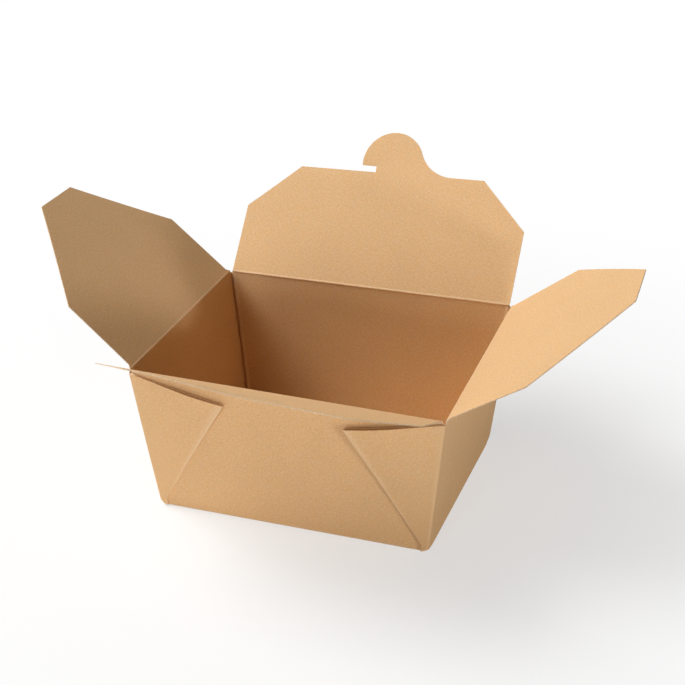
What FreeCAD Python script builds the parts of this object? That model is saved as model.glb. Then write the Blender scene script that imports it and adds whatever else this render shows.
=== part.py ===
import FreeCAD, Part
import os
from math import atan2, cos, degrees, hypot, pi, radians, sin, sqrt, tan
from FreeCAD import Placement, Rotation, Vector

# A takeaway food box, folded from one sheet of kraft board and standing open.
# The tray is the base, four walls that lean outwards and four corner webs. A web joins two walls,
# is folded in two along its diagonal, and lies flat on the outside of the front or back wall, so
# that the tray has no cut edge below its rim.
# Four flaps close the top: the left one, the right one over it, then the front one, then the back
# one, whose hook goes into the front one's slit.
# X runs from left to right, Y from front to back, Z upwards. The origin is the middle of the
# underside. Lengths are in millimetres, and the tray's are taken at the middle of the board.

# The board
board = 0.4  # thickness
fold_gap = 0.2  # air between two layers that are folded flat on each other
fold_radius = 0.5  # inside radius of the folds round the base and down the outer corners

# The tray
base_width = 114.5
base_depth = 89.0
rim_width = 130.0  # between the creases of the side flaps
rim_depth = 103.0  # between the creases of the front and back flaps
side_height = 63.5  # the side flaps' creases above the underside
end_step = 0.75  # how much higher the front and back creases are, to close over the side flaps
crease_gap = 0.35  # from a crease's axis down to the wall's top edge

# The corner webs
corner_slit = 0.2  # between a side wall and the folded end of the front or back wall
web_height = 53.4  # of the tip, where the diagonal fold meets the cut edge
web_drop = 1.8  # from the side crease down to the cut edge, at the outer corner
toe_width = 2.8  # the flattened corner where the folds run together at the base

# The side flaps, out from their creases. They reach past the middle, one over the other.
side_overlap = 7.9  # past the middle of the rim
side_tip_half = 13.0
side_shoulder_out = 34.4
side_shoulder_inset = 1.6  # from the rim's corner, along the crease
side_root_inset = 0.7
side_relief = 1.6  # the cut corner beside the crease, as wide as it is long

# The front and back flaps, out from their creases. Their edges just cross when the box is shut.
end_overlap = 1.6  # past the middle of the rim
end_edge_half = 42.85
end_shoulder_out = 32.1
end_shoulder_inset = 0.65
end_root_inset = 1.3

# The hook on the back flap
hook_radius = 14.2  # of its round head
hook_rise = 4.9  # of the head's centre, beyond the flap's edge
notch_height = 3.0  # between the flap's edge and the hook's barb
neck_half = 7.4  # from the middle of the flap to the neck's notched side
sweep_end = 28.0  # where the curve on the hook's other side runs out into the edge
hook_tilt = 11.0  # degrees between the hook's crease and the flap's edge
hook_bend = 7.0  # degrees that the head is bent towards the inside

# The slit in the front flap, which lies under the hook's crease when the box is shut
slit_width = 1.2
slit_spare = 1.5  # longer than the head is wide, by this much

# How the flaps stand
left_lift = 41.1  # degrees above level
right_lift = 34.2  # degrees above level
front_lift = 29.2  # degrees above level
back_lift = 48.2  # degrees above level

side_root_half = rim_depth / 2 - side_root_inset
side_shoulder_half = rim_depth / 2 - side_shoulder_inset
side_tip_out = rim_width / 2 + side_overlap
end_root_half = rim_width / 2 - end_root_inset
end_shoulder_half = rim_width / 2 - end_shoulder_inset
end_edge_out = rim_depth / 2 + end_overlap
hook_centre_out = end_edge_out + hook_rise
layer_pitch = board + fold_gap
bead_radius = layer_pitch / 2 + board / 2
web_thickness = 2 * layer_pitch
end_height = side_height + end_step
above_rim = end_height + 2 * board
beyond = 2 * web_thickness  # how far a cutting block reaches past what it cuts


class Wall:
    """A pair of opposite walls: how their mid-planes lean, and where their creases are."""

    def __init__(self, base_length, rim_length, crease_height):
        self.crease_out = rim_length / 2
        self.crease_height = crease_height
        self.lean = atan2((rim_length - base_length) / 2, crease_height - board / 2)

    def out_at(self, z, offset=0.0):
        """Distance from the tray's middle, at height z, of the plane lying offset outside."""
        run = (z - self.crease_height) * tan(self.lean)
        return self.crease_out + run + offset / cos(self.lean)


side_wall = Wall(base_width, rim_width, side_height)
end_wall = Wall(base_depth, rim_depth, end_height)


def loft_between(corners_at, z_low, z_high):
    """The straight-sided block between one outline's places at two heights."""
    wires = []
    for z in (z_low, z_high):
        points = [Vector(x, y, z) for x, y in corners_at(z)]
        wires.append(Part.makePolygon(points + points[:1]))
    return Part.makeLoft(wires, True, True)


def tray_block(side_offset, end_offset, z_low, z_high):
    """A block with the tray's leaning sides, each lying its offset outside the mid-plane."""

    def corners_at(z):
        x = side_wall.out_at(z, side_offset)
        y = end_wall.out_at(z, end_offset)
        return [(-x, -y), (x, -y), (x, y), (-x, y)]

    return loft_between(corners_at, z_low, z_high)


def corner_block(side_offsets, end_offsets, z_low, z_high):
    """A block at the front left corner, between two offsets from each wall's mid-plane."""

    def corners_at(z):
        x_in, x_out = (-side_wall.out_at(z, offset) for offset in side_offsets)
        y_in, y_out = (-end_wall.out_at(z, offset) for offset in end_offsets)
        return [(x_in, y_in), (x_out, y_in), (x_out, y_out), (x_in, y_out)]

    return loft_between(corners_at, z_low, z_high)


def round_edges(block, radius, with_corners):
    """Rounds the edges round a block's foot, and those up its corners if asked."""

    def chosen(edge):
        heights = [vertex.Z for vertex in edge.Vertexes]
        at_foot = max(heights) - block.BoundBox.ZMin < board
        upright = max(heights) - min(heights) > board
        return at_foot or (with_corners and upright)

    return block.makeFillet(radius, [edge for edge in block.Edges if chosen(edge)])


def in_four_corners(shape):
    """The shape and its mirror images in the other three corners of the tray."""
    middle = Vector(0, 0, 0)
    pair = [shape, shape.mirror(middle, Vector(1, 0, 0))]
    return pair + [one.mirror(middle, Vector(0, 1, 0)) for one in pair]


class WebOutline:
    """The front left web in its own plane, as (along X, up the wall) from the wall's foot."""

    def __init__(self):
        up_scale = 1 / cos(end_wall.lean)
        self.corner_foot = Vector(-side_wall.out_at(0), 0)
        corner_top = side_height - web_drop
        self.corner_top = Vector(-side_wall.out_at(corner_top), corner_top * up_scale)
        self.corner_line = (self.corner_top - self.corner_foot).normalize()

        # The web halves the angle that the two walls' edges leave open in the flat sheet.
        end_slope = hypot(end_height, end_wall.crease_out - base_depth / 2)
        side_slope = hypot(side_height, side_wall.crease_out - base_width / 2)
        end_splay = atan2(side_wall.crease_out - base_width / 2, end_slope)
        side_splay = atan2(end_wall.crease_out - base_depth / 2, side_slope)
        fold_angle = (pi / 2 - end_splay - side_splay) / 2 - end_splay
        self.fold_line = Vector(sin(fold_angle), cos(fold_angle))
        self.tip = self.corner_foot + self.fold_line * (web_height * up_scale / cos(fold_angle))
        self.toe_top = self.corner_foot + self.fold_line * (toe_width / sin(fold_angle))
        self.toe_foot = Vector(self.toe_top.x, 0)

    def folded_side(self, inset):
        """The toe's foot and top, and a point past the tip, all moved in from the fold."""
        across = Vector(self.fold_line.y, -self.fold_line.x)
        foot = self.toe_foot - Vector(inset, beyond)
        past_tip = self.tip + self.fold_line * beyond - across * inset
        rise = (past_tip.x - foot.x) * self.fold_line.y / self.fold_line.x
        return foot, Vector(foot.x, past_tip.y - rise), past_tip


def sheet_prism(points, low, high):
    """The outline run through from low to high, across the plane that it is drawn in."""
    face = Part.Face(Part.makePolygon(points + points[:1]))
    return face.extrude(Vector(0, 0, high - low)).translated(Vector(0, 0, low))


def half_round(start, end, middle):
    """The round of a fold between two layers, on the right of its line from start to end."""
    along = end - start
    bulge = Vector(along.y, -along.x).normalize() * bead_radius
    centre = start + Vector(0, 0, middle)
    across = Vector(0, 0, bead_radius)
    ends = (centre - across, centre + across)
    round_side = Part.Arc(ends[0], centre + bulge, ends[1]).toShape()
    flat_side = Part.LineSegment(ends[1], ends[0]).toShape()
    return Part.Face(Part.Wire([round_side, flat_side])).extrude(along)


def on_front_wall(shape):
    """Moves a shape drawn flat, as (X, up, outwards), onto the front wall's mid-plane."""
    foot = Vector(0, -end_wall.out_at(0), 0)
    up = Vector(0, -sin(end_wall.lean), cos(end_wall.lean))
    across = Vector(1, 0, 0)
    shape.Placement = Placement(foot, Rotation(across, up, across.cross(up)))
    return shape


def wall_end_line():
    """Where the front wall's flat part ends, beside its fold, from past the foot to past the rim."""
    web = WebOutline()
    aside = Vector(web.corner_line.y, -web.corner_line.x)
    shift = aside * (board / 2 + corner_slit + bead_radius) - web.corner_line * beyond
    foot = web.corner_foot + shift
    return foot, foot + web.corner_line * (above_rim + 3 * beyond)


def front_left_web():
    """The web at the front left: two layers, their folds, and the side wall's turn to them."""
    web = WebOutline()
    inner_layer, outer_layer = layer_pitch, 2 * layer_pitch
    far_left = web.corner_top.x - beyond
    fold = web.folded_side(bead_radius)
    wall_foot, wall_top = wall_end_line()

    inner_sheet = [wall_foot, *fold, Vector(fold[-1].x, wall_top.y), wall_top]
    outer_sheet = [Vector(far_left, fold[0].y), *fold, Vector(far_left, fold[-1].y)]
    layers = [
        sheet_prism(inner_sheet, inner_layer - board / 2, inner_layer + board / 2),
        sheet_prism(outer_sheet, outer_layer - board / 2, outer_layer + board / 2),
        half_round(fold[0], fold[1], (inner_layer + outer_layer) / 2),
        half_round(fold[1], fold[2], (inner_layer + outer_layer) / 2),
        half_round(wall_top, wall_foot, inner_layer / 2),
    ]
    sheet = layers[0].fuse(layers[1:])

    # One straight cut, from the corner down to the tip, is the web's free edge.
    cut_line = web.tip - web.corner_top
    cut_low = web.corner_top + cut_line * 1.5
    cut_high = web.corner_top - cut_line
    waste = [cut_high, cut_low, Vector(cut_low.x, 2 * above_rim), Vector(cut_high.x, 2 * above_rim)]
    sheet = sheet.cut(sheet_prism(waste, -web_thickness, 2 * web_thickness))

    # The side wall runs on past the front wall's end, and the toe closes the corner's foot.
    side_face = -board / 2
    stack = (-board / 2, outer_layer + board / 2)
    turn = corner_block((side_face, board / 2), stack, 0, above_rim)
    toe = corner_block((-toe_width + bead_radius, board / 2), stack, 0, board)
    envelope = tray_block(board / 2, outer_layer + board / 2, 0, above_rim)
    rounded = round_edges(envelope, fold_radius + board, True)
    return on_front_wall(sheet).fuse([turn, toe]).common(rounded)


def front_left_slit():
    """What the front wall lacks between its end and the side wall's inside."""
    wall_foot, wall_top = wall_end_line()
    far_left = wall_top.x - 2 * beyond
    outline = [Vector(far_left, wall_foot.y), wall_foot, wall_top, Vector(far_left, wall_top.y)]
    beside = on_front_wall(sheet_prism(outline, -board / 2 - fold_gap, board))
    inside = tray_block(-board / 2, beyond, board, above_rim + beyond)
    return beside.common(inside)


def rim_cutter(wall, length, reach_in):
    """The block above a wall's top edge, for a wall that faces the front."""
    block = Part.makeBox(length, beyond + reach_in, beyond)
    block.translate(Vector(-length / 2, -beyond, -crease_gap))
    block.rotate(Vector(0, 0, 0), Vector(1, 0, 0), degrees(wall.lean))
    block.translate(Vector(0, -wall.crease_out, wall.crease_height))
    return block


def tray():
    """The base, the four walls and the four corner webs, as one folded sheet."""
    outside = round_edges(tray_block(board / 2, board / 2, 0, above_rim), fold_radius + board, False)
    inside = round_edges(tray_block(-board / 2, -board / 2, board, above_rim + beyond), fold_radius, False)
    sheet = outside.cut(inside)
    sheet = sheet.cut(in_four_corners(front_left_slit()))
    sheet = sheet.fuse(in_four_corners(front_left_web()))

    end_cutter = rim_cutter(end_wall, rim_width + beyond, board + beyond)
    side_cutter = rim_cutter(side_wall, rim_depth + 2 * beyond, board / 2 + corner_slit / 2)
    side_cutter.rotate(Vector(0, 0, 0), Vector(0, 0, 1), -90)
    half_turn = (Vector(0, 0, 0), Vector(0, 0, 1), 180)
    cutters = [end_cutter, side_cutter]
    for cutter in (end_cutter, side_cutter):
        other = cutter.copy()
        other.rotate(*half_turn)
        cutters.append(other)
    return sheet.cut(cutters).removeSplitter()


def line(start, end):
    """A straight edge between two (along, out) points of a flap."""
    return Part.LineSegment(Vector(*start, 0), Vector(*end, 0)).toShape()


def arc(centre, radius, start_angle, end_angle):
    """A round edge about an (along, out) point, between two angles in radians."""
    angles = (start_angle, (start_angle + end_angle) / 2, end_angle)
    points = [Vector(centre[0] + radius * cos(a), centre[1] + radius * sin(a), 0) for a in angles]
    return Part.Arc(*points).toShape()


def panel(edges):
    """The board inside a closed run of edges, its middle on the flap's own plane."""
    face = Part.Face(Part.Wire(edges))
    return face.extrude(Vector(0, 0, board)).translated(Vector(0, 0, -board / 2))


def straight_edges(points):
    return [line(a, b) for a, b in zip(points, points[1:])]


def with_root(flap, root_half):
    """Adds the rounded edge at the crease, which turns on the crease's own line."""
    root = Part.makeCylinder(board / 2, 2 * root_half, Vector(-root_half, 0, 0), Vector(1, 0, 0))
    return flap.fuse(root).removeSplitter()


def side_flap():
    """A left or right flap: cut corners at the crease, straight sides, then a long taper."""
    right_half = [
        (side_root_half, 0),
        (side_root_half - side_relief, side_relief),
        (side_shoulder_half, side_shoulder_out),
        (side_tip_half, side_tip_out),
    ]
    left_half = [(-along, out) for along, out in reversed(right_half)]
    outline = right_half + left_half + right_half[:1]
    return with_root(panel(straight_edges(outline)), side_root_half)


def hook_points():
    """The (along, out) points where the hook's straight and round edges meet."""
    barb_out = end_edge_out + notch_height
    rise = barb_out - hook_centre_out
    barb_tip = (-sqrt(hook_radius**2 - rise**2), barb_out)
    neck_top = (-neck_half, barb_out)

    # The sweep's circle touches the head's circle and the flap's edge.
    drop = hook_centre_out - end_edge_out
    sweep_radius = (sweep_end**2 + drop**2 - hook_radius**2) / (2 * (hook_radius + drop))
    sweep_centre = (sweep_end, end_edge_out + sweep_radius)

    # The crease runs from the neck's top to the sweep, at the hook's tilt.
    tilt = radians(hook_tilt)
    to_centre = (sweep_centre[0] - neck_top[0], sweep_centre[1] - neck_top[1])
    ahead = to_centre[0] * cos(tilt) + to_centre[1] * sin(tilt)
    aside = to_centre[1] * cos(tilt) - to_centre[0] * sin(tilt)
    length = ahead - sqrt(sweep_radius**2 - aside**2)
    crease_end = (neck_top[0] + length * cos(tilt), neck_top[1] + length * sin(tilt))
    return barb_tip, neck_top, crease_end, sweep_centre, sweep_radius


def angle_from(centre, point):
    return atan2(point[1] - centre[1], point[0] - centre[0])


def back_flap():
    """The flap that closes last, with its neck and, past a crease, the hook's bent head."""
    barb_tip, neck_top, crease_end, sweep_centre, sweep_radius = hook_points()
    head_centre = (0, hook_centre_out)
    meeting_angle = angle_from(head_centre, sweep_centre)
    meeting_on_sweep = meeting_angle + pi
    crease_on_sweep = angle_from(sweep_centre, crease_end) % (2 * pi)
    sweep_foot = 1.5 * pi

    body = straight_edges([
        (sweep_end, end_edge_out),
        (end_edge_half, end_edge_out),
        (end_shoulder_half, end_shoulder_out),
        (end_root_half, 0),
        (-end_root_half, 0),
        (-end_shoulder_half, end_shoulder_out),
        (-end_edge_half, end_edge_out),
        (-neck_half, end_edge_out),
        neck_top,
        crease_end,
    ])
    body.append(arc(sweep_centre, sweep_radius, crease_on_sweep, sweep_foot))

    barb_angle = angle_from(head_centre, barb_tip) % (2 * pi)
    head = [
        line(crease_end, neck_top),
        line(neck_top, barb_tip),
        arc(head_centre, hook_radius, barb_angle, meeting_angle),
        arc(sweep_centre, sweep_radius, meeting_on_sweep, crease_on_sweep),
    ]
    start, end = Vector(*neck_top, 0), Vector(*crease_end, 0)
    bent_head = panel(head).rotated(start, end - start, hook_bend)
    crease = Part.makeCylinder(board / 2, (end - start).Length, start, end - start)
    return with_root(panel(body).fuse([bent_head, crease]), end_root_half)


def front_flap():
    """The flap that closes before the back one, with the slit for its hook."""
    right_half = [
        (end_root_half, 0),
        (end_shoulder_half, end_shoulder_out),
        (end_edge_half, end_edge_out),
    ]
    left_half = [(-along, out) for along, out in reversed(right_half)]
    flap = panel(straight_edges(right_half + left_half + right_half[:1]))

    # Shut, a point of the back flap lies over the one that is the rim's depth less its own out.
    barb_tip, neck_top, crease_end = hook_points()[:3]
    tilt = -radians(hook_tilt)
    middle_along = (barb_tip[0] + hook_radius) / 2
    crease_out = neck_top[1] + (middle_along - neck_top[0]) * tan(-tilt)
    middle = Vector(middle_along, rim_depth - crease_out, 0)
    half_length = (hook_radius - barb_tip[0] + slit_spare) / 2
    half_width = slit_width / 2
    slit = Part.makeBox(2 * half_length, slit_width, 2 * board, Vector(-half_length, -half_width, -board))
    for end in (-half_length, half_length):
        slit = slit.fuse(Part.makeCylinder(half_width, 2 * board, Vector(end, 0, -board)))
    slit.rotate(Vector(0, 0, 0), Vector(0, 0, 1), degrees(tilt))
    return with_root(flap.cut(slit.translated(middle)), end_root_half)


def stand(flap, wall, turn, lift):
    """Places a flap on its wall's crease, lifted above level. turn 0 is the right-hand side."""
    out = Vector(cos(radians(turn)), sin(radians(turn)), 0)
    up = Vector(0, 0, 1)
    along = Vector(abs(out.y), abs(out.x), 0)
    outwards = out * cos(radians(lift)) + up * sin(radians(lift))
    crease = out * wall.crease_out + up * wall.crease_height
    flap.Placement = Placement(crease, Rotation(along, outwards, along.cross(outwards)))
    return flap


def main():
    pieces = {
        "tray": tray(),
        "left_flap": stand(side_flap(), side_wall, 180, left_lift),
        "right_flap": stand(side_flap(), side_wall, 0, right_lift),
        "front_flap": stand(front_flap(), end_wall, 270, front_lift),
        "back_flap": stand(back_flap(), end_wall, 90, back_lift),
    }
    os.makedirs("parts", exist_ok=True)
    for name, shape in pieces.items():
        box = shape.BoundBox
        print(
            name, len(shape.Solids), "solid", "valid" if shape.isValid() else "NOT VALID",
            f"{shape.Volume:.0f} mm3, x {box.XMin:.1f} {box.XMax:.1f},",
            f"y {box.YMin:.1f} {box.YMax:.1f}, z {box.ZMin:.1f} {box.ZMax:.1f}",
        )
        shape.exportStep(os.path.join("parts", name + ".step"))


main()
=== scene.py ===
"""A takeaway food box folded from one sheet of kraft board, standing open on a pale floor."""

from math import atan2, copysign, cos, hypot, pi, radians, sin, tan

import bpy
from mathutils import Matrix, Vector


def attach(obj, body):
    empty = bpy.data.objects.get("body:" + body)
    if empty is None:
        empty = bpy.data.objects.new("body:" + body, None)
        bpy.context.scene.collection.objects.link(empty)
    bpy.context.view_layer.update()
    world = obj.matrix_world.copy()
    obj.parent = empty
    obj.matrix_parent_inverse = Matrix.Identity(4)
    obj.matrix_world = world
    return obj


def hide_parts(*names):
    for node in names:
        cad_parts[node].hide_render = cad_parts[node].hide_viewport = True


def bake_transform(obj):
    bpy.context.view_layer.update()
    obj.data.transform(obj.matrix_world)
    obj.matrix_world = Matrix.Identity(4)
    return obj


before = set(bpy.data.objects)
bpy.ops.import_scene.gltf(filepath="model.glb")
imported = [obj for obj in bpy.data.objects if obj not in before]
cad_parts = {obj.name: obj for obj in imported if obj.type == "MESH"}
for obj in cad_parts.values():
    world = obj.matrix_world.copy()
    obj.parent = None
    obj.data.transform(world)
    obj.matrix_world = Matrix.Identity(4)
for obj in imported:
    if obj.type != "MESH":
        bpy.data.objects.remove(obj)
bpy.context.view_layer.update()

# Lengths are in millimetres until a mesh gets its place. The tray's are at the middle of the board.
MM = 0.001
BOARD = 0.4

# The tray
BASE_X, BASE_Y = 57.25, 44.5  # half sizes at the foot
RIM_X, RIM_Y = 65.0, 51.5  # half sizes at the rim
SIDE_CREASE = 63.5  # heights
END_CREASE = 63.5
STRIP_FOOT = 0.9  # from a crease down to where the tray's own edge starts
FOLD = 0.7  # radius of the folds round the base and down the outer corners
SIDE_LEAN = atan2(RIM_X - BASE_X, SIDE_CREASE - BOARD / 2)
END_LEAN = atan2(RIM_Y - BASE_Y, END_CREASE - BOARD / 2)

# The corner webs
PLY = 0.43  # from the middle of one layer to the next
FOLD_ANGLE = radians(31.2)  # of the diagonal fold, from upright
TOE_WIDTH = 2.8
TOE_TOP = 4.2
WEB_TOP = 62.3  # of the cut edge, at the outer corner
TIP_IN = 39.8  # from the rim's corner to the tip
TIP_HEIGHT = 53.4
LAYER_END = 0.97  # the share of a layer that is flat, before the diagonal fold's round
INNER_GIVE = 0.45  # the inner layer's share of the gape

# The board has settled: the rim is a little out of true, the walls belly and the toes are tucked
RIM_TWIST = 0.6  # how far opposite corners have risen, and the other two sunk
RIM_DROP = 0.1
RIM_SLIDE = 0.42  # of the front to the right and the back to the left
FOOT_PUSH = 1.6  # of the front wall's foot, outwards
LEFT_BELLY, RIGHT_BELLY = 0.3, 0.5
FRONT_BELLY, BACK_BELLY = 0.35, 0.4
WALL_BAND = 3  # how deep from a wall's plane the card bellies with it
TOE_TUCK = Vector((0.5, 0.3, -1.1))  # how far a foot corner is moved in, and up
TOE_REACH = 3.2

# The flaps, as (along, out) from their creases
SIDE_OUTLINE = [(50.8, -STRIP_FOOT), (50.8, 0), (49.2, 1.6), (49.9, 34.4), (13.0, 72.9)]
END_REACH = 53.3
END_OUTLINE = [(63.7, -STRIP_FOOT), (63.7, 0), (64.38, 32.1), (42.9, END_REACH)]


def lerp(a, b, t):
    return a + (b - a) * t


def smooth(t):
    t = min(max(t, 0.0), 1.0)
    return t * t * (3 - 2 * t)


def steps(start, end, count):
    return [lerp(start, end, i / count) for i in range(count + 1)]


def side_out(z):
    """How far the side walls' middle planes stand from the tray's middle at a height."""
    return RIM_X + (z - SIDE_CREASE) * tan(SIDE_LEAN)


def end_out(z):
    return RIM_Y + (z - END_CREASE) * tan(END_LEAN)


def rim_shift(x_share, y_share):
    """How far the rim has moved at a place given as shares of its half sizes."""
    return Vector((-RIM_SLIDE * y_share, 0, RIM_TWIST * x_share * y_share - RIM_DROP))


def settled(point):
    """A point of the true tray, moved to where it is on the box as it stands."""
    share = min(point.z / SIDE_CREASE, 1.0)
    moved = point + rim_shift(point.x / RIM_X, point.y / RIM_Y) * share**2
    across = 1 - min(abs(point.y) / RIM_Y, 1.0) ** 2
    along = 1 - min(abs(point.x) / RIM_X, 1.0) ** 2
    belly = sin(pi * share)
    if abs(point.x) > side_out(point.z) - WALL_BAND:
        moved.x += (RIGHT_BELLY if point.x > 0 else -LEFT_BELLY) * across * belly
    elif abs(point.y) > end_out(point.z) - WALL_BAND:
        moved.y += (BACK_BELLY if point.y > 0 else -FRONT_BELLY) * along * belly
    moved.y -= FOOT_PUSH * (1 - share) * smooth((-point.y - 20) / 24)
    corner = Vector((BASE_X, BASE_Y + 2 * PLY, 0)) - Vector((abs(point.x), abs(point.y), point.z))
    tuck = TOE_TUCK * max(0.0, 1 - corner.length / TOE_REACH) ** 1.5
    return moved - Vector((copysign(tuck.x, point.x), copysign(tuck.y, point.y), tuck.z))


def only(piece):
    """Makes the piece the one that is selected and worked on."""
    bpy.ops.object.select_all(action="DESELECT")
    piece.select_set(True)
    bpy.context.view_layer.objects.active = piece


def in_edit_mode(piece, work):
    only(piece)
    bpy.ops.object.mode_set(mode="EDIT")
    bpy.ops.mesh.select_all(action="SELECT")
    work()
    bpy.ops.object.mode_set(mode="OBJECT")


def set_flat_places(piece, flat):
    """Gives the mesh a UV map in metres on the flat sheet, one place for each of its points."""
    mesh = piece.data
    layer = mesh.uv_layers.active or mesh.uv_layers.new(name="UVMap")
    for loop in mesh.loops:
        u, v = flat[loop.vertex_index]
        layer.data[loop.index].uv = (u * MM, v * MM)


def set_wear_and_highlight(piece, wear_and_highlight):
    attribute = piece.data.attributes.new("wear_and_highlight", "FLOAT", "POINT")
    attribute.data.foreach_set("value", wear_and_highlight)


def card_patch(rows, flat, wear_and_highlight=None):
    """A stretch of card from a grid, whose points go to the rows of places given."""
    across, up = len(rows[0]) - 1, len(rows) - 1
    bpy.ops.object.select_all(action="DESELECT")
    bpy.ops.mesh.primitive_grid_add(x_subdivisions=across, y_subdivisions=up, size=2)
    patch = bpy.context.object
    places = [settled(point) * MM for row in rows for point in row]
    for vertex, place in zip(patch.data.vertices, places):
        vertex.co = place
    set_flat_places(patch, [place for row in flat for place in row])
    set_wear_and_highlight(patch, [value for row in wear_and_highlight for value in row] if wear_and_highlight else [0.0] * len(places))
    return patch


# The heights of the tray's rows: up the toe, up the web, then to the rim
FOOT_ROW = BOARD / 2 + FOLD - FOLD * sin(END_LEAN)
TOE_ROWS = steps(FOOT_ROW, TOE_TOP, 3)[:-1]
WEB_ROWS = steps(TOE_TOP, WEB_TOP, 14)
WEB_HEIGHTS = TOE_ROWS + WEB_ROWS
INNER_FOLD = 0.705  # from a side wall's middle to where the base's own panel starts
SIDE_PANELS, END_PANELS = 20, 26  # across a side wall and an end wall
# The rounded end of an end wall and its return on the outside, as (in from the side wall, outwards)
BEAD = [(1.9, 0.0), (1.5, -0.08), (1.1, -0.27), (0.6, -0.32), (0.22, -0.18), (0.0, 0.1)]
RETURN = [(0.0, 0.1), (0.0, 0.28), (0.1, 0.42), (0.4, 0.52), (0.8, 0.50), (1.3, PLY)]


def bead_at(z, shape):
    """The bead or its return at a height: pressed flat at the foot and plump above it."""
    plump = smooth((z - 1.0) / 6)
    inset = INNER_FOLD + 0.3 * plump
    return [(inset + aside, depth * plump if depth < 0 else depth) for aside, depth in shape]


def side_wall_columns(z):
    front = end_out(z) + 2 * PLY - FOLD
    inner = end_out(z) - INNER_FOLD
    return [-front] + steps(-inner, inner, SIDE_PANELS) + [front]


def end_wall_columns(z):
    edge = side_out(z)
    bead = bead_at(z, BEAD)
    left = [(-edge + aside, depth) for aside, depth in reversed(bead)]
    inner = steps(-edge + bead[0][0], edge - bead[0][0], END_PANELS)[1:-1]
    right = [(edge - aside, depth) for aside, depth in bead]
    return left + [(x, 0.0) for x in inner] + right


def wall_rows(crease):
    return WEB_HEIGHTS + steps(WEB_TOP, crease - STRIP_FOOT, 3)[1:]


# Painted highlight, with some wear: a paler band along a wall's top, just under the crease.
def crease_wear_and_highlight(z, crease):
    return smooth(1 - (crease - z - STRIP_FOOT) / 0.5) * 0.4


def side_wall(sign):
    heights = wall_rows(SIDE_CREASE)
    rows = [[Vector((sign * side_out(z), y, z)) for y in side_wall_columns(z)] for z in heights]
    flat = [[(y + sign * 300, z - SIDE_CREASE) for y in side_wall_columns(z)] for z in heights]
    wear_and_highlight = [[crease_wear_and_highlight(z, SIDE_CREASE)] * len(rows[0]) for z in heights]
    return card_patch(rows, flat, wear_and_highlight)


def end_wall(sign):
    heights = wall_rows(END_CREASE)
    rows = [
        [Vector((x, sign * (end_out(z) + depth), z)) for x, depth in end_wall_columns(z)]
        for z in heights
    ]
    flat = [
        [(x, sign * 150 + z - END_CREASE) for x, depth in end_wall_columns(z)] for z in heights
    ]
    # Painted highlight, with some wear: the rounded bead at each end of the wall is painted fully
    # pale.
    edges = [1.0 if depth else 0.0 for x, depth in end_wall_columns(30)]
    wear_and_highlight = [[max(edge, crease_wear_and_highlight(z, END_CREASE)) for edge in edges] for z in heights]
    return card_patch(rows, flat, wear_and_highlight)


def base_rows():
    """The base's own panel and the folds up to the four walls."""
    centre = BOARD / 2 + FOLD
    turn = steps(0, pi / 2 - END_LEAN, 5)
    columns = [x for x, depth in end_wall_columns(FOOT_ROW)]
    inner = side_wall_columns(FOOT_ROW)[1:-1]
    patches = []
    panel = [[Vector((x, y, BOARD / 2)) for x in columns] for y in inner]
    patches.append(card_patch(panel, [[(p.x, p.y + 500) for p in row] for row in panel]))
    for sign in (-1, 1):
        rows = []
        for angle in turn:
            y = abs(inner[0]) + FOLD * sin(angle)
            z = centre - FOLD * cos(angle)
            rows.append([Vector((x, sign * y, z)) for x in columns])
        rows[-1] = [
            Vector((x, sign * (end_out(FOOT_ROW) + depth), FOOT_ROW))
            for x, depth in end_wall_columns(FOOT_ROW)
        ]
        flat = [[(p.x, sign * 80 + p.z + 500) for p in row] for row in rows]
        # Painted highlight, with some wear: the fold round the base is painted paler as it turns
        # up.
        patches.append(card_patch(rows, flat, [[0.5 * sin(a)] * len(columns) for a in turn]))
        rows = []
        for angle in steps(0, pi / 2 - SIDE_LEAN, 5):
            x = abs(columns[0]) + FOLD * sin(angle)
            z = centre - FOLD * cos(angle)
            rows.append([Vector((sign * x, y, z)) for y in inner])
        rows[-1] = [Vector((sign * side_out(FOOT_ROW), y, FOOT_ROW)) for y in inner]
        flat = [[(p.y + sign * 300, p.z - 70) for p in row] for row in rows]
        # Painted highlight, with some wear: the fold round the base is painted paler as it turns
        # up.
        patches.append(card_patch(rows, flat, [[0.5 * sin(a)] * len(inner) for a in turn]))
    return patches


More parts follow.
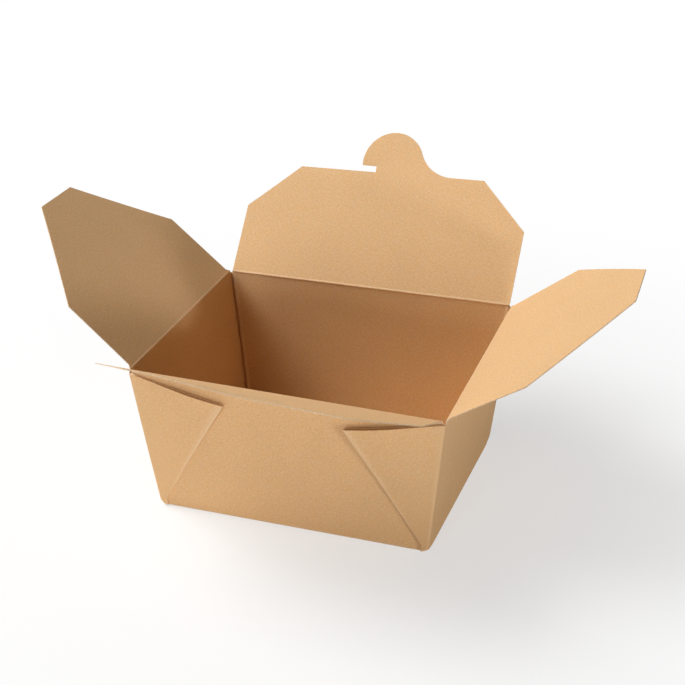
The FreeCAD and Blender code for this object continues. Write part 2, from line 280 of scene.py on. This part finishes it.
def corner_web(x_sign, y_sign, tip_height, gape):
    """A web: the side wall's turn, its outer layer, the diagonal fold, the inner layer and its
    fold back to the end wall. The two layers gape along the cut edge. The signs are the corner's
    own: 1 for the right and the back. It is laid out at the back left and mirrored from there."""
    rows, flat, wear_and_highlight = [], [], []
    toe_fold = Vector((TOE_WIDTH, TOE_TOP + 0.3))
    tip = Vector((TIP_IN, tip_height))
    for height in [0.5] + WEB_HEIGHTS:
        rise = (height - TOE_TOP) / (WEB_TOP - TOE_TOP)
        edge = side_out(height)
        if rise < 0:
            fold = Vector((-side_out(height) + TOE_WIDTH, height))
            bulge = Vector((1, 0))
        else:
            foot = Vector((toe_fold.x - side_out(0), toe_fold.y))
            top = Vector((-RIM_X + tip.x, tip.y))
            fold = foot.lerp(top, rise)
            bulge = Vector((cos(FOLD_ANGLE), -sin(FOLD_ANGLE)))
        opening = max(rise, 0) ** 3
        start = Vector((-edge + FOLD, height))
        row, places, worn_and_highlighted = [], [], []

        def layer(share, base, give):
            spot = start.lerp(fold, share)
            open_share = opening * sin(pi * min(share, 0.94) ** 1.3 * 0.8)
            return Vector((spot.x, end_out(spot.y) + base + give * gape * open_share, spot.y))

        outer = 2 * PLY
        for angle in steps(0, pi / 2, 5)[:-1]:
            x = -edge + FOLD - FOLD * cos(angle)
            y = end_out(height) + outer - FOLD + FOLD * sin(angle)
            row.append(Vector((x, y, height)))
            # Painted highlight, with some wear: the turn round the outer corner is painted a little
            # paler.
            worn_and_highlighted.append(0.3 * sin(angle + 0.2))
        shares = [0, 0.03, 0.08] + steps(0.16, LAYER_END, 12)
        for share in shares:
            row.append(layer(share, outer, 1.0))
            # The layer's ends, at the corner turn and at the diagonal fold, are painted paler:
            # partly wear, partly painted highlight.
            worn_and_highlighted.append(0.2 * smooth(1 - share / 0.05) + 0.6 * smooth((share - 0.95) / 0.02))
        outer_end = layer(LAYER_END, outer, 1.0)
        spread = (outer_end - layer(LAYER_END, PLY, INNER_GIVE)).y / 2
        middle = outer_end.y - spread - end_out(outer_end.z)
        for angle in steps(0, pi, 8):
            spot = fold + bulge * (spread * sin(angle) - 0.15)
            depth = middle + spread * cos(angle)
            row.append(Vector((spot.x, end_out(spot.y) + depth, spot.y)))
            # Painted highlight, with some wear: the diagonal fold is painted almost fully pale.
            worn_and_highlighted.append(0.9)
        for share in reversed(shares[3:]):
            row.append(layer(share, PLY, INNER_GIVE))
            worn_and_highlighted.append(0.0)
        for aside, depth in reversed(bead_at(height, RETURN)):
            row.append(Vector((-edge + aside, end_out(height) + depth, height)))
            # Painted highlight, with some wear: the return round the end wall's bead is painted a
            # little paler.
            worn_and_highlighted.append(0.3)
        places = [(x_sign * (i * 1.9 + 100), p.z + y_sign * 150 + 37) for i, p in enumerate(row)]
        rows.append([Vector((-x_sign * p.x, y_sign * p.y, p.z)) for p in row])
        flat.append(places)
        wear_and_highlight.append(worn_and_highlighted)
    return card_patch(rows, flat, wear_and_highlight)


def thicken(piece):
    """Gives the sheet its thickness, with the cut edges in their own finish."""
    only(piece)
    sheet = piece.modifiers.new("board", "SOLIDIFY")
    sheet.thickness = BOARD * MM
    sheet.offset = 0
    sheet.use_even_offset = False
    sheet.material_offset_rim = 1
    bpy.ops.object.modifier_apply(modifier=sheet.name)
    bpy.ops.object.shade_smooth_by_angle(angle=radians(42))


def joined(patches, name):
    bpy.ops.object.select_all(action="DESELECT")
    for patch in patches:
        patch.select_set(True)
    piece = patches[0]
    bpy.context.view_layer.objects.active = piece
    bpy.ops.object.join()
    piece.name = piece.data.name = name

    def close_seams():
        bpy.ops.mesh.remove_doubles(threshold=0.03 * MM)
        bpy.ops.mesh.normals_make_consistent(inside=False)

    in_edit_mode(piece, close_seams)
    return piece


def folded_tray():
    patches = [side_wall(-1), side_wall(1), end_wall(-1), end_wall(1)] + base_rows()
    patches.append(corner_web(-1, -1, TIP_HEIGHT + 1.6, 2.0))
    patches.append(corner_web(1, -1, TIP_HEIGHT + 0.3, 2.4))
    patches.append(corner_web(-1, 1, TIP_HEIGHT, 1.3))
    patches.append(corner_web(1, 1, TIP_HEIGHT + 0.4, 1.6))
    return joined(patches, "folded_tray")


# The back flap's hook
HOOK_RADIUS = 14.0
HOOK_CENTRE = (-0.3, 57.9)
BARB = [(-7.4, 53.2), (-7.6, 56.1), (-14.3, 56.1)]
SWEEP_END = (28.0, END_REACH)
HOOK_CREASE = ((-7.9, 55.8), (15.4, 60.7))
HOOK_BEND = radians(7)


def arc_points(centre, radius, start, end, count):
    return [
        (centre[0] + radius * cos(a), centre[1] + radius * sin(a)) for a in steps(start, end, count)
    ]


def mirrored(right_half):
    return right_half + [(-along, out) for along, out in reversed(right_half)]


def sweep_circle():
    """The circle that touches the hook's head and runs out into the flap's edge."""
    aside = SWEEP_END[0] - HOOK_CENTRE[0]
    drop = HOOK_CENTRE[1] - SWEEP_END[1]
    radius = (aside**2 + drop**2 - HOOK_RADIUS**2) / (2 * (HOOK_RADIUS + drop))
    return (SWEEP_END[0], SWEEP_END[1] + radius), radius


def back_outline():
    head_start = atan2(BARB[2][1] - HOOK_CENTRE[1], BARB[2][0] - HOOK_CENTRE[0]) % (2 * pi)
    sweep_centre, sweep_radius = sweep_circle()
    meeting = atan2(sweep_centre[1] - HOOK_CENTRE[1], sweep_centre[0] - HOOK_CENTRE[0])
    head = arc_points(HOOK_CENTRE, HOOK_RADIUS, meeting, head_start, 34)
    sweep = arc_points(sweep_centre, sweep_radius, 1.5 * pi, pi + meeting, 14)[:-1]
    left = [(-along, out) for along, out in reversed(END_OUTLINE)]
    return END_OUTLINE + sweep + head + list(reversed(BARB)) + left


class Flap:
    """Where a flap's crease runs on the box as it stands, and how the flap leaves it."""

    def __init__(
        self, name, corners, outward, lean, crease, lift, twist, closes, bow, stays_up=0, bead=0.26
    ):
        self.name = name
        start, end = (
            Vector((RIM_X * x, RIM_Y * y, crease)) + rim_shift(x, y) for x, y in corners
        )
        self.middle = (start + end) / 2
        self.along = (end - start).normalized()
        out = Vector(outward)
        self.out = (out - self.along * out.dot(self.along)).normalized()
        up = self.along.cross(self.out)
        self.up = up if up.z > 0 else -up
        self.lean, self.lift, self.twist = lean, radians(lift), twist
        self.closes = radians(closes)
        self.bow, self.bead = bow, bead
        self.stays_up = radians(stays_up)

    def lift_at(self, along):
        return self.lift + self.twist(along)

    def direction(self, angle):
        return self.out * cos(angle) + self.up * sin(angle)

    def place(self, along, out):
        """The point of the standing flap that is (along, out) on the flat sheet."""
        root = self.middle + self.along * along
        angle = self.lift_at(along)
        wall, flap = self.direction(pi / 2 - self.lean), self.direction(angle)
        reach = STRIP_FOOT - 0.05
        if out <= -reach:
            point = root + wall * out
        elif out < reach:
            t = (out + reach) / (2 * reach)
            bead = self.bead * sin(pi * min(1.25 * t, 1)) ** 2
            point = root - wall * reach * (1 - t) ** 2 + flap * reach * t**2
            point += self.direction((pi / 2 - self.lean + angle) / 2 + pi / 2) * bead
        else:
            point = root + flap * out
        inside = self.direction(angle + pi / 2)
        return point + inside * self.bow(along, out)

    def share(self, along, out):
        """The share of the crease's turn that a point takes. It takes out the twist on shutting."""
        even = (self.closes - self.stays_up + self.lift - self.lift_at(along)) / self.closes
        return min(even, 1.0) * smooth((out + STRIP_FOOT) / (2 * STRIP_FOOT))


# The slit in the front flap
SLIT_MIDDLE = Vector((0.1, 45.4))
SLIT_ALONG = Vector((cos(radians(-11)), sin(radians(-11))))
SLIT_ACROSS = Vector((-SLIT_ALONG.y, SLIT_ALONG.x))
SLIT_LENGTH, SLIT_WIDTH = 15.3, 0.6  # half of each


def slit_cuts():
    cuts = []
    lines = (SLIT_ALONG, SLIT_LENGTH), (SLIT_ALONG, SLIT_LENGTH - 0.4), (SLIT_ACROSS, SLIT_WIDTH)
    for way, half in lines:
        cuts += [(SLIT_MIDDLE + way * half, way), (SLIT_MIDDLE - way * half, way)]
    return cuts


def cut_slit(piece):
    """Takes out the small panels that lie inside the slit."""
    mesh = piece.data
    in_edit_mode(piece, lambda: bpy.ops.mesh.select_all(action="DESELECT"))
    for panel in mesh.polygons:
        aside = panel.center.xy - SLIT_MIDDLE
        inside_length = abs(aside.dot(SLIT_ALONG)) < SLIT_LENGTH
        panel.select = inside_length and abs(aside.dot(SLIT_ACROSS)) < SLIT_WIDTH
    only(piece)
    bpy.ops.object.mode_set(mode="EDIT")
    bpy.ops.mesh.delete(type="FACE")
    bpy.ops.object.mode_set(mode="OBJECT")


def standing_flap(flap, outline, offset, extra_cuts=()):
    """A flap cut from a flat disc of card, scored into small panels, creased and bent up."""
    bpy.ops.object.select_all(action="DESELECT")
    bpy.ops.mesh.primitive_circle_add(vertices=len(outline), radius=1, fill_type="NGON")
    piece = bpy.context.object
    piece.name = piece.data.name = flap.name
    for vertex, (along, out) in zip(piece.data.vertices, outline):
        vertex.co = (along, out, 0)
    reach = max(out for along, out in outline)
    width = max(along for along, out in outline)
    cuts = [((0, out), (0, 1)) for out in steps(-0.85, 0.85, 14) + [1.1, 1.6, 3.0]]
    cuts += [((0, out), (0, 1)) for out in steps(5.5, reach, round(reach / 4.5))[:-1]]
    cuts += [((along, 0), (1, 0)) for along in steps(-width, width, round(width / 2.4))[1:-1]]
    cuts += list(extra_cuts)

    def score():
        for place, across in cuts:
            bpy.ops.mesh.select_all(action="SELECT")
            bpy.ops.mesh.bisect(plane_co=(*place, 0), plane_no=(*across, 0))

    in_edit_mode(piece, score)
    if flap.name == "front_flap_card":
        cut_slit(piece)
    mesh = piece.data
    flat = [(vertex.co.x, vertex.co.y) for vertex in mesh.vertices]
    set_flat_places(piece, [(along + offset[0], out + offset[1]) for along, out in flat])
    # Painted highlight, with some wear: a paler band along the crease, where its bead catches the
    # light.
    set_wear_and_highlight(piece, [smooth(1 - abs(out + 0.2) / 0.9) for along, out in flat])
    turn = mesh.attributes.new("turn", "FLOAT", "POINT")
    turn.data.foreach_set("value", [flap.share(along, out) for along, out in flat])
    for vertex, (along, out) in zip(mesh.vertices, flat):
        vertex.co = flap.place(along, out) * MM
    return piece


def hook_bow(along, out):
    """The head past the hook's crease is bent a little towards the inside."""
    (x0, y0), (x1, y1) = HOOK_CREASE
    length = hypot(x1 - x0, y1 - y0)
    beyond = ((out - y0) * (x1 - x0) - (along - x0) * (y1 - y0)) / length
    if out < END_REACH + 0.1 or beyond < -0.5:
        return 0.0
    bend = tan(HOOK_BEND)
    return bend * (beyond + 0.5) ** 2 / 2 if beyond < 0.5 else bend * beyond


def side_bow(along, out):
    """The side flaps curl a little away from the box towards their free edges."""
    return -0.4 * (max(out, 0) / 73) ** 2


def front_bow(along, out):
    """The front flap's free edge sags, most of all at its right."""
    return -1.85 * (max(out, 0) / END_REACH) ** 1.5 * smooth((along + 38) / 46)


def even_twist(per_50mm):
    return lambda along: per_50mm * along / 50


def right_twist(along):
    """Less at the front end, so that the shut flap stays under the front flap."""
    return (0.035 * along + 0.009 * hypot(along, 8)) / 50


LEFT = Flap("left_flap_card", ((-1, -1), (-1, 1)), (-1, 0, 0), SIDE_LEAN, SIDE_CREASE, 41.1,
            even_twist(-0.029), 139.5, side_bow)
RIGHT = Flap("right_flap_card", ((1, -1), (1, 1)), (1, 0, 0), SIDE_LEAN, SIDE_CREASE, 34.2,
             right_twist, 145.8, side_bow)
FRONT = Flap("front_flap_card", ((-1, -1), (1, -1)), (0, -1, 0), END_LEAN, END_CREASE, 29.2,
             even_twist(-0.027), 151.05, front_bow)
BACK = Flap("back_flap_card", ((-1, 1), (1, 1)), (0, 1, 0), END_LEAN, END_CREASE, 48.2,
            even_twist(0.047), 129.9, hook_bow, stays_up=2, bead=0.5)


# ---------------------------------------------------------------- the board's finish


def new_node(tree, kind, **settings):
    node = tree.nodes.new(kind)
    for name, value in settings.items():
        setattr(node, name, value)
    return node


def board_material(name, face, light, dark, is_edge=False):
    """Unbleached board: a warm brown with soft blotches and fine pale and dark fibres. Where it is
    folded it is painted paler, partly as wear and partly as a painted highlight along folds and
    beads."""
    material = bpy.data.materials.new(name)
    material.use_nodes = True
    tree = material.node_tree
    tree.nodes.clear()
    link = tree.links.new
    sheet_place = new_node(tree, "ShaderNodeTexCoord")

    def grain(scale_x, scale_y, turn, detail=2.0, roughness=0.5):
        mapping = new_node(tree, "ShaderNodeMapping")
        mapping.inputs["Rotation"].default_value = (0, 0, radians(turn))
        mapping.inputs["Scale"].default_value = (scale_x, scale_y, 1)
        link(sheet_place.outputs["UV"], mapping.inputs["Vector"])
        noise = new_node(tree, "ShaderNodeTexNoise")
        noise.inputs["Scale"].default_value = 1
        noise.inputs["Detail"].default_value = detail
        noise.inputs["Roughness"].default_value = roughness
        link(mapping.outputs["Vector"], noise.inputs["Vector"])
        return noise.outputs["Fac"]

    def ranged(value, low, high, to_low=0.0, to_high=1.0):
        node = new_node(tree, "ShaderNodeMapRange", clamp=True)
        limits = {"From Min": low, "From Max": high, "To Min": to_low, "To Max": to_high}
        for socket, number in limits.items():
            node.inputs[socket].default_value = number
        link(value, node.inputs["Value"])
        return node.outputs["Result"]

    def mixed(share, first, second):
        node = new_node(tree, "ShaderNodeMix", data_type="RGBA")
        link(share, node.inputs["Factor"])
        for socket, colour in ((6, first), (7, second)):
            if isinstance(colour, tuple):
                node.inputs[socket].default_value = (*colour, 1)
            else:
                link(colour, node.inputs[socket])
        return node.outputs[2]

    def added(first, second):
        node = new_node(tree, "ShaderNodeMath", operation="ADD")
        link(first, node.inputs[0])
        link(second, node.inputs[1])
        return node.outputs[0]

    blotches = ranged(grain(55, 35, 0, 2, 0.5), 0.3, 0.7)
    cloud = ranged(grain(330, 260, 8, 3, 0.65), 0.3, 0.7)
    speckle = ranged(grain(1500, 1250, 20, 2, 0.7), 0.32, 0.68)
    colour = mixed(blotches, face, tuple(c * 0.95 for c in face))
    warm = (face[0] * 1.03, face[1] * 0.97, face[2] * 0.87)
    colour = mixed(ranged(cloud, 0.2, 1, 0, 0.7), colour, warm)
    colour = mixed(ranged(speckle, 0.5, 1, 0, 0.32), colour, light)
    colour = mixed(ranged(speckle, 0.5, 0, 0, 0.18), colour, dark)
    fibres = (
        ((620, 5200, 12), 0.6, 0.72, 0.5, light),
        ((4800, 560, -18), 0.61, 0.73, 0.45, light),
        ((700, 4800, -9), 0.62, 0.72, 0.34, dark),
        ((4400, 800, 24), 0.63, 0.74, 0.3, dark),
    )
    for streaks, low, high, strength, tone in fibres:
        colour = mixed(ranged(grain(*streaks, 1), low, high, 0, strength), colour, tone)
    # Painted highlight, with some wear: the attribute pales the colour patchily along folds,
    # creases and beads.
    wear_and_highlight = new_node(tree, "ShaderNodeAttribute", attribute_name="wear_and_highlight", attribute_type="GEOMETRY")
    patchiness = ranged(grain(500, 700, 0, 3, 0.7), 0.25, 0.75, 0.35, 1)
    worn_and_highlighted = new_node(tree, "ShaderNodeMath", operation="MULTIPLY")
    link(wear_and_highlight.outputs["Fac"], worn_and_highlighted.inputs[0])
    link(patchiness, worn_and_highlighted.inputs[1])
    colour = mixed(ranged(worn_and_highlighted.outputs[0], 0, 1, 0, 0.6), colour, light)

    lengthwise = ranged(grain(1500, 5200, 12, 2), 0, 1, 0, 0.6)
    crosswise = ranged(grain(5200, 1700, -18, 2), 0, 1, 0, 0.5)
    swells = ranged(grain(420, 300, 0, 3, 0.6), 0, 1, 0, 1.2)
    relief = added(added(lengthwise, crosswise), swells)
    bump = new_node(tree, "ShaderNodeBump")
    bump.inputs["Strength"].default_value = 0.5 if is_edge else 0.32
    bump.inputs["Distance"].default_value = 0.05 * MM
    link(relief, bump.inputs["Height"])

    shader = new_node(tree, "ShaderNodeBsdfPrincipled")
    shader.inputs["Specular IOR Level"].default_value = 0.25
    link(colour, shader.inputs["Base Color"])
    link(ranged(cloud, 0, 1, 0.72, 0.86), shader.inputs["Roughness"])
    link(bump.outputs["Normal"], shader.inputs["Normal"])
    output = new_node(tree, "ShaderNodeOutputMaterial")
    link(shader.outputs[0], output.inputs["Surface"])
    return material


KRAFT = (0.70, 0.438, 0.212)
CUT_KRAFT = (0.60, 0.44, 0.29)
kraft_board = board_material("kraft_board", KRAFT, (0.80, 0.60, 0.40), (0.36, 0.19, 0.085))
cut_edge = board_material(
    "board_cut_edge", CUT_KRAFT, (0.80, 0.66, 0.48), (0.40, 0.25, 0.14), is_edge=True
)


def finished(piece, node):
    for material in (kraft_board, cut_edge):
        piece.data.materials.append(material)
    thicken(piece)
    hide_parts(node)
    return piece


tray = finished(folded_tray(), "tray")
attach(tray, "tray")

hook_cuts = []
(x0, y0), (x1, y1) = HOOK_CREASE
for aside in (-0.5, 0, 0.5):
    hook_cuts.append(((x0, y0 + aside), (-(y1 - y0), x1 - x0)))

for flap, outline, node, offset, cuts in (
    (LEFT, mirrored(SIDE_OUTLINE), "left_flap", (-300, 0), ()),
    (RIGHT, mirrored(SIDE_OUTLINE), "right_flap", (300, 0), ()),
    (FRONT, mirrored(END_OUTLINE), "front_flap", (0, -150), slit_cuts()),
    (BACK, back_outline(), "back_flap", (0, 150), hook_cuts),
):
    piece = finished(standing_flap(flap, outline, offset, cuts), node)
    reach = STRIP_FOOT * MM
    crease = flap.middle * MM
    start = crease - flap.direction(pi / 2 - flap.lean) * reach
    end = crease + flap.direction(flap.lift) * reach
    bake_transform(piece)
    turned = [0.0] * len(piece.data.vertices)
    piece.data.attributes["turn"].data.foreach_get("value", turned)


# ---------------------------------------------------------------- floor, lamps and camera

bpy.ops.object.select_all(action="DESELECT")
bpy.ops.mesh.primitive_plane_add(size=8, location=(0, 0, 0))
floor = bpy.context.object
floor.name = "floor"


def floor_white():
    """A pale floor. Away from the box the camera and shiny surfaces see it as plain white."""
    material = bpy.data.materials.new("floor_white")
    material.use_nodes = True
    tree = material.node_tree
    tree.nodes.clear()
    link = tree.links.new
    surface = new_node(tree, "ShaderNodeBsdfDiffuse")
    surface.inputs["Color"].default_value = (0.88, 0.88, 0.88, 1)
    white = new_node(tree, "ShaderNodeEmission")
    place = new_node(tree, "ShaderNodeTexCoord")
    distance = new_node(tree, "ShaderNodeVectorMath", operation="LENGTH")
    link(place.outputs["Object"], distance.inputs[0])
    away = new_node(tree, "ShaderNodeMapRange", interpolation_type="SMOOTHSTEP")
    away.inputs["From Min"].default_value = 0.06
    away.inputs["From Max"].default_value = 0.32
    away.inputs["To Min"].default_value = 0.6
    link(distance.outputs["Value"], away.inputs["Value"])
    rays = new_node(tree, "ShaderNodeLightPath")
    seen = new_node(tree, "ShaderNodeMath", operation="MAXIMUM")
    link(rays.outputs["Is Camera Ray"], seen.inputs[0])
    link(rays.outputs["Is Glossy Ray"], seen.inputs[1])
    share = new_node(tree, "ShaderNodeMath", operation="MULTIPLY")
    link(seen.outputs[0], share.inputs[0])
    link(away.outputs["Result"], share.inputs[1])
    both = new_node(tree, "ShaderNodeMixShader")
    link(share.outputs[0], both.inputs["Fac"])
    link(surface.outputs[0], both.inputs[1])
    link(white.outputs[0], both.inputs[2])
    output = new_node(tree, "ShaderNodeOutputMaterial")
    link(both.outputs[0], output.inputs["Surface"])
    return material


floor.data.materials.append(floor_white())

world = bpy.data.worlds.new("studio")
bpy.context.scene.world = world
world.use_nodes = True
sky = world.node_tree
background = sky.nodes["Background"]
rays = new_node(sky, "ShaderNodeLightPath")
seen = new_node(sky, "ShaderNodeMath", operation="MAXIMUM")
sky.links.new(rays.outputs["Is Camera Ray"], seen.inputs[0])
sky.links.new(rays.outputs["Is Glossy Ray"], seen.inputs[1])
strength = new_node(sky, "ShaderNodeMapRange")
strength.inputs["To Min"].default_value = 0.02  # what the box is lit with
strength.inputs["To Max"].default_value = 1.0
sky.links.new(seen.outputs[0], strength.inputs["Value"])
sky.links.new(strength.outputs["Result"], background.inputs["Strength"])
background.inputs["Color"].default_value = (1, 1, 1, 1)


def soft_lamp(name, place, target, size, power):
    bpy.ops.object.light_add(type="AREA", location=place)
    lamp = bpy.context.object
    lamp.name = name
    lamp.data.size = size
    lamp.data.energy = power
    lamp.rotation_euler = (Vector(target) - Vector(place)).to_track_quat("-Z", "Y").to_euler()
    return lamp


soft_lamp("overhead_lamp", (-0.72, -0.15, 1.25), (0, 0, 0.05), 0.8, 7.5)
soft_lamp("left_lamp", (-1.0, 0.0, 1.1), (0, 0, 0.05), 0.8, 18.6)
soft_lamp("front_lamp", (-0.2, -1.6, 0.3), (0, 0, 0.06), 0.34, 7)
soft_lamp("right_lamp", (1.3, -0.6, 0.09), (0, 0, 0.04), 0.16, 7.4)

# The camera, where the photograph was taken from
CAMERA_PLACE = Vector((207.2, -548.88, 356.51))
CAMERA_TURN = radians(20.395)
CAMERA_RISE = radians(26.779)
CAMERA_ROLL = radians(-1.256)
camera_data = bpy.data.cameras.new("camera")
camera = bpy.data.objects.new("camera", camera_data)
bpy.context.scene.collection.objects.link(camera)
aim = Matrix.Rotation(CAMERA_TURN, 4, "Z") @ Matrix.Rotation(pi / 2 - CAMERA_RISE, 4, "X")
aim = aim @ Matrix.Rotation(CAMERA_ROLL, 4, "Z")
camera.matrix_world = Matrix.Translation(CAMERA_PLACE * MM) @ aim
camera_data.sensor_width = 36
camera_data.lens = 84.29
camera_data.shift_x = 0.01088
camera_data.shift_y = 0.00204
camera_data.clip_end = 20
bpy.context.scene.camera = camera
bpy.context.scene.view_settings.view_transform = "Standard"
